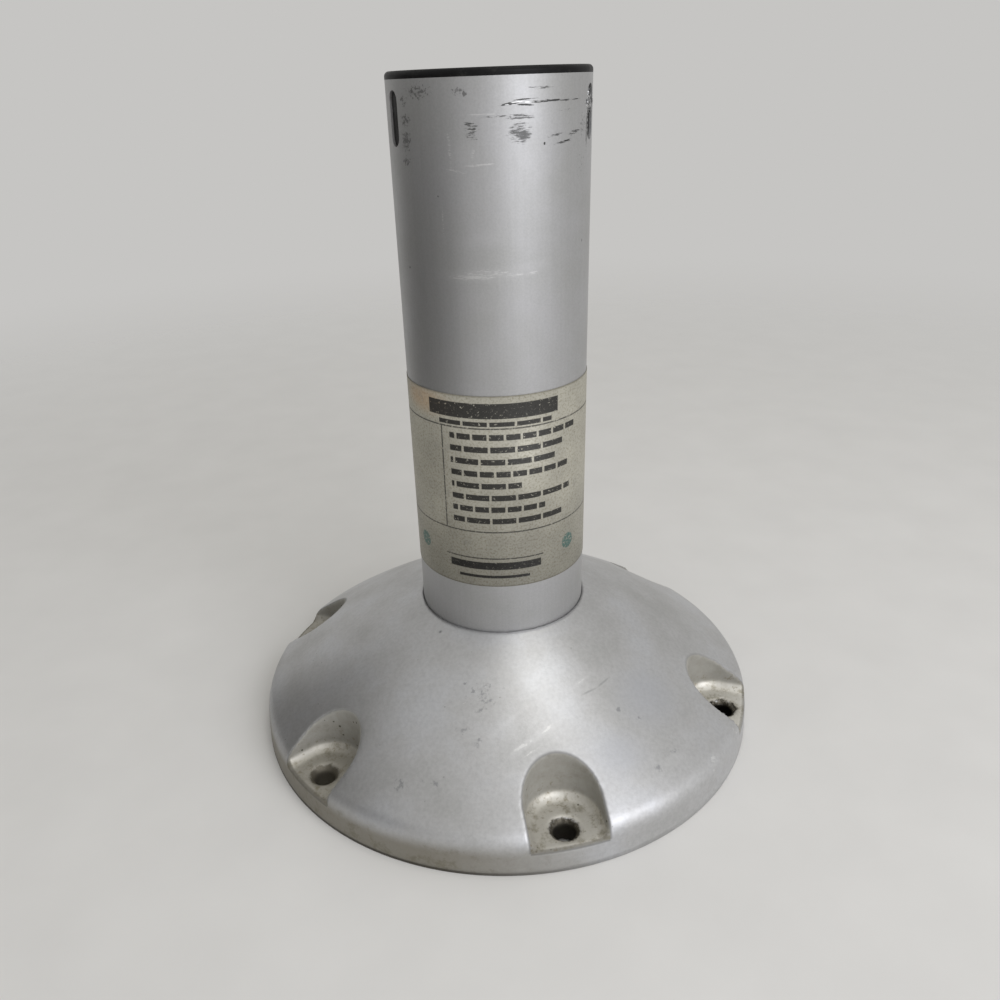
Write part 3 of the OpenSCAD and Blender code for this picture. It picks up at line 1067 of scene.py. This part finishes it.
    def build(self) -> bpy.types.Object:
        """Build and dress the casting.

        Returns:
            The finished piece.
        """
        body = self.dome()
        hollow = self.hollow()
        bosses = self.repeat(self.boss(), -90.0, self.bolt_r - self.pocket_back)
        middle = (self.socket + self.socket_wall + self.radius) / 2 - 2.0
        ribs = self.repeat(self.rib_bar(), -60.0, middle)
        pockets = self.repeat(self.pocket_cut(), -90.0, self.bolt_r - self.pocket_back)
        bm = bmesh.new()
        self.hole_cut(bm)
        bmesh.ops.recalc_face_normals(bm, faces=bm.faces)
        holes = self.repeat(as_object("hole", bm), -90.0, self.bolt_r)
        socket = self.socket_cut()
        for i, tool in enumerate((hollow, socket)):
            tool.data.transform(Matrix.Rotation(math.radians(self.tool_turn * (i + 1)), 4, "Z"))
        for tool in (bosses, ribs):
            cut(hollow, tool)
        for tool in (socket, holes, pockets, hollow):
            cut(body, tool)
        self.skin(body)
        for tool in (hollow, bosses, ribs, pockets, holes, socket):
            bpy.data.objects.remove(tool)
        body.name = "cast_base"
        place(body, self.finish.build(), "base_casting")
        return body


def as_object(name: str, bm: bmesh.types.BMesh) -> bpy.types.Object:
    """Turn a bmesh into an object of the scene and free it.

    Args:
        name: Name of the object.
        bm: The mesh.

    Returns:
        The object.
    """
    mesh = bpy.data.meshes.new(name)
    bm.to_mesh(mesh)
    bm.free()
    made = bpy.data.objects.new(name, mesh)
    bpy.context.scene.collection.objects.link(made)
    return made


def cut(body: bpy.types.Object, tool: bpy.types.Object) -> None:
    """Take a tool's space off a body with a boolean.

    Args:
        body: The body that loses the space.
        tool: The space.
    """
    modifier = body.modifiers.new("cut_" + tool.name, "BOOLEAN")
    modifier.operation = "DIFFERENCE"
    modifier.solver = "EXACT"
    modifier.object = tool
    settle(body)


def settle(body: bpy.types.Object) -> None:
    """Apply every modifier of a body to its mesh.

    Args:
        body: The body.
    """
    graph = bpy.context.evaluated_depsgraph_get()
    mesh = bpy.data.meshes.new_from_object(body.evaluated_get(graph))
    old = body.data
    body.modifiers.clear()
    body.data = mesh
    bpy.data.meshes.remove(old)


def place(body: bpy.types.Object, material: bpy.types.Material, node: str | None, scale: float = MM) -> None:
    """Scale a piece to metres, dress it and hand it to the frame.

    Args:
        body: The piece, in millimetres.
        material: Finish of the piece.
        node: CAD node that the piece stands for, or None.
        scale: Metres in one unit of the mesh.
    """
    body.data.transform(Matrix.Scale(scale, 4))
    body.data.materials.clear()
    body.data.materials.append(material)
    for polygon in body.data.polygons:
        polygon.use_smooth = True
    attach(body, BODY)
    if node:
        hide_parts(node)


@dataclass
class PostTube:
    """Round post with its key slots and the torn metal in one of them, sizes in millimetres."""

    radius: float = 36.5
    # middle, half sizes (in, round, up) and seed of each lump of torn metal, at the edge of the right slot
    burr_turn: float = -31.0
    lumps: tuple[tuple[Vector, Vector, float], ...] = (
        (Vector((-0.35, -0.2, 258.9)), Vector((0.85, 3.3, 2.6)), 4.1),
        (Vector((-0.45, -1.6, 262.0)), Vector((0.60, 1.6, 1.7)), 8.6),
        (Vector((-0.60, -2.6, 253.6)), Vector((0.50, 0.9, 3.6)), 2.7),
    )
    finish: AnodisedTube = field(default_factory=AnodisedTube)

    def build(self) -> bpy.types.Object:
        """Dress the CAD tube and add the torn metal.

        Returns:
            The burr.
        """
        material = self.finish.build()
        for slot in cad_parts["post_tube"].material_slots:
            slot.material = material
        bm = bmesh.new()
        for middle, half, seed in self.lumps:
            lump = bmesh.ops.create_icosphere(bm, subdivisions=4, radius=1.0)["verts"]
            for vert in lump:
                rough = noise.fractal(vert.co * 1.5 + Vector((seed, 0.0, seed)), 1.0, 2.0, 4)
                vert.co *= 1.0 + 0.55 * rough
            bmesh.ops.scale(bm, verts=lump, vec=half)
            bmesh.ops.translate(bm, verts=lump, vec=middle + Vector((self.radius, 0.0, 0.0)))
        bmesh.ops.rotate(bm, verts=bm.verts, cent=(0, 0, 0), matrix=Matrix.Rotation(math.radians(self.burr_turn), 3, "Z"))
        burr = as_object("slot_burr", bm)
        place(burr, TornAluminium().build(), None)
        return burr


@dataclass
class TopBushing:
    """Plastic bushing in the top of the post."""

    finish: MouldedNylon = field(default_factory=MouldedNylon)

    def build(self) -> bpy.types.Object:
        """Dress the CAD bushing.

        Returns:
            The CAD node's object.
        """
        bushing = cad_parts["top_bushing"]
        material = self.finish.build()
        for slot in bushing.material_slots:
            slot.material = material
        return bushing


@dataclass
class WrapLabel:
    """Thin film round the post with rounded corners, sizes in millimetres."""

    radius: float = 36.55
    low: float = 81.0
    width: float = 127.0
    height: float = 82.5
    thick: float = 0.15
    corner: float = 3.0
    middle: float = -107.0
    columns: int = 120

    def build(self) -> bpy.types.Object:
        """Cut, print and wrap the film.

        Returns:
            The finished piece.
        """
        bm = bmesh.new()
        bmesh.ops.create_grid(bm, x_segments=1, y_segments=1, size=0.5)
        bmesh.ops.scale(bm, verts=bm.verts, vec=(self.width, self.height, 1.0))
        bmesh.ops.bevel(
            bm,
            geom=bm.verts[:],
            offset=self.corner,
            offset_type="OFFSET",
            segments=8,
            profile=0.5,
            affect="VERTICES",
            material=-1,
        )
        for i in range(1, self.columns):
            at = (i / self.columns - 0.5) * self.width
            bmesh.ops.bisect_plane(bm, geom=bm.verts[:] + bm.edges[:] + bm.faces[:], plane_co=(at, 0, 0), plane_no=(1, 0, 0))
        flat = bm.loops.layers.uv.new("flat")
        for face in bm.faces:
            for loop in face.loops:
                spot = loop.vert.co
                loop[flat].uv = (spot.x / self.width + 0.5, spot.y / self.height + 0.5)
        bmesh.ops.solidify(bm, geom=bm.faces[:], thickness=-self.thick)
        start = math.radians(self.middle)
        lowest = min(v.co.z for v in bm.verts)
        for vert in bm.verts:
            angle = start + vert.co.x / self.radius
            out = self.radius + vert.co.z - lowest
            vert.co = (out * math.cos(angle), out * math.sin(angle), self.low + self.height / 2 + vert.co.y)
        bmesh.ops.recalc_face_normals(bm, faces=bm.faces)
        film = as_object("wrap_label", bm)
        place(film, AgedFilm(self.width, self.height).build(), "label")
        return film


@dataclass(frozen=True)
class Lamp:
    """Soft square lamp: its direction from the camera's side and its height in degrees, then metres and watts."""

    name: str
    side: float
    rise: float
    away: float
    size: float
    power: float
    tint: str


@dataclass
class Studio:
    """Camera, lights, floor and world."""

    focal: float = 854.667
    pitch: float = 0.48626
    roll: float = -0.0374
    yaw: float = -0.02147
    distance: float = 0.34013
    height: float = 0.2672
    centre_x: float = 484.794
    centre_y: float = 532.346
    turn: float = math.radians(-11.9)
    lamps: tuple[Lamp, ...] = (
        Lamp("window", 36.0, 29.0, 1.3, 0.9, 8.7, "#f8f9ff"),
        Lamp("overhead", 72.0, 77.0, 1.3, 0.45, 1.9, "#fffefb"),
    )
    # the dark card at the left: its distance, the depths between which it stands and its height
    card_away: float = 0.3
    card_near: float = 0.42
    card_far: float = 0.15
    card_tall: float = 0.3

    def camera(self) -> None:
        """Set the camera where the photograph was taken."""
        pitch, yaw, roll = self.pitch, self.yaw, self.roll
        forward = Vector((math.sin(yaw) * math.cos(pitch), math.cos(yaw) * math.cos(pitch), -math.sin(pitch)))
        right = Vector((math.cos(yaw), -math.sin(yaw), 0.0))
        up = right.cross(forward)
        side = right * math.cos(roll) + up * math.sin(roll)
        top = up * math.cos(roll) - right * math.sin(roll)
        frame_matrix = Matrix((side, top, -forward)).transposed().to_4x4()
        spin = Matrix.Rotation(self.turn, 4, "Z")
        data = bpy.data.cameras.new("camera")
        data.sensor_width = 36.0
        data.lens = self.focal * 36.0 / 1000
        data.shift_x = (500 - self.centre_x) / 1000
        data.shift_y = (self.centre_y - 500) / 1000
        data.clip_start = 0.01
        eye = bpy.data.objects.new("camera", data)
        bpy.context.scene.collection.objects.link(eye)
        eye.matrix_world = spin @ Matrix.Translation((0.0, -self.distance, self.height)) @ frame_matrix
        bpy.context.scene.camera = eye

    def light(self, lamp: Lamp) -> None:
        """Add one soft square lamp that faces the object.

        Args:
            lamp: Its place, size, power and colour.
        """
        data = bpy.data.lights.new(lamp.name, "AREA")
        data.size = lamp.size
        data.energy = lamp.power
        data.color = linear(lamp.tint)[:3]
        made = bpy.data.objects.new(lamp.name, data)
        bpy.context.scene.collection.objects.link(made)
        side, rise = math.radians(lamp.side), math.radians(lamp.rise)
        toward = Vector((math.sin(side) * math.cos(rise), -math.cos(side) * math.cos(rise), math.sin(rise)))
        made.location = Matrix.Rotation(self.turn, 3, "Z") @ toward * lamp.away
        made.rotation_mode = "QUATERNION"
        made.rotation_quaternion = (Vector((0.0, 0.0, 0.1)) - made.location).to_track_quat("-Z", "Y")
        made.visible_camera = False

    def card(self) -> None:
        """Stand a dark card at the left, which only the metal's reflections show."""
        bm = bmesh.new()
        bmesh.ops.create_grid(bm, x_segments=1, y_segments=1, size=0.5)
        bmesh.ops.scale(bm, verts=bm.verts, vec=(self.card_near + self.card_far, self.card_tall, 1.0))
        bmesh.ops.rotate(bm, verts=bm.verts, cent=(0, 0, 0), matrix=Matrix.Rotation(math.pi / 2, 3, "X"))
        bmesh.ops.rotate(bm, verts=bm.verts, cent=(0, 0, 0), matrix=Matrix.Rotation(math.pi / 2, 3, "Z"))
        middle = (self.card_far - self.card_near) / 2
        bmesh.ops.translate(bm, verts=bm.verts, vec=(-self.card_away, middle, self.card_tall / 2))
        bmesh.ops.rotate(bm, verts=bm.verts, cent=(0, 0, 0), matrix=Matrix.Rotation(self.turn, 3, "Z"))
        card = as_object("dark_card", bm)
        coat = Coat("dark_card")
        coat.shader.inputs["Base Color"].default_value = linear("#434240")
        coat.shader.inputs["Roughness"].default_value = 1.0
        card.data.materials.append(coat.material)
        card.visible_camera = False
        card.visible_diffuse = False
        card.visible_shadow = False

    def world(self) -> None:
        """Pale, even surroundings, which the camera sees and the metal shows."""
        world = bpy.data.worlds.new("studio")
        bpy.context.scene.world = world
        world.use_nodes = True
        tree = world.node_tree
        tree.nodes.clear()
        pale = add(tree, Kind.BACKGROUND, {"Color": "#c6c5c3", "Strength": 1.0})
        add(tree, Kind.WORLD_OUT, {"Surface": pale})

    def floor(self) -> None:
        """Pale floor that fades into the surroundings."""
        bm = bmesh.new()
        bmesh.ops.create_circle(bm, cap_ends=True, segments=96, radius=3.0)
        disc = as_object("floor", bm)
        coat = Coat("pale_studio_floor")
        tree = coat.tree
        where = add(tree, Kind.PLACE, out="Object")
        away = add(tree, Kind.VECTOR, {0: where}, "Value", operation="LENGTH")
        # faint clouds of 40 mm, as on painted board
        grain = add(tree, Kind.NOISE, {"Vector": where, "Scale": per_metre(40), "Detail": 4.0})
        coat.base = add(tree, Kind.RAMP, {0: grain}, stops=((0.3, "#d6d5d2"), (0.7, "#dad9d6")))
        coat.finish(0.0, 0.9, grain, 0.02, 0.2)
        fade = add(tree, Kind.RANGE, {0: away, 1: 0.25, 2: 1.2})
        mixed = add(tree, Kind.BLEND_SHADERS, {0: fade, 1: coat.surface, 2: add(tree, Kind.CLEAR)})
        tree.links.new(mixed, coat.out)
        disc.data.materials.append(coat.material)
        disc.location.z = -0.0002

    def build(self) -> None:
        """Set up the whole studio."""
        bpy.context.scene.view_settings.view_transform = "Standard"
        self.camera()
        self.world()
        self.floor()
        self.card()
        for lamp in self.lamps:
            self.light(lamp)


def main() -> None:
    logging.basicConfig(level=logging.INFO, format="%(name)s: %(message)s")
    for maker in (BaseCasting(), PostTube(), TopBushing(), WrapLabel()):
        made = maker.build()
        LOG.info("%s: %d faces", made.name, len(made.data.polygons))
    Studio().build()
    LOG.info("sizes written")


if __name__ == "__main__":
    main()
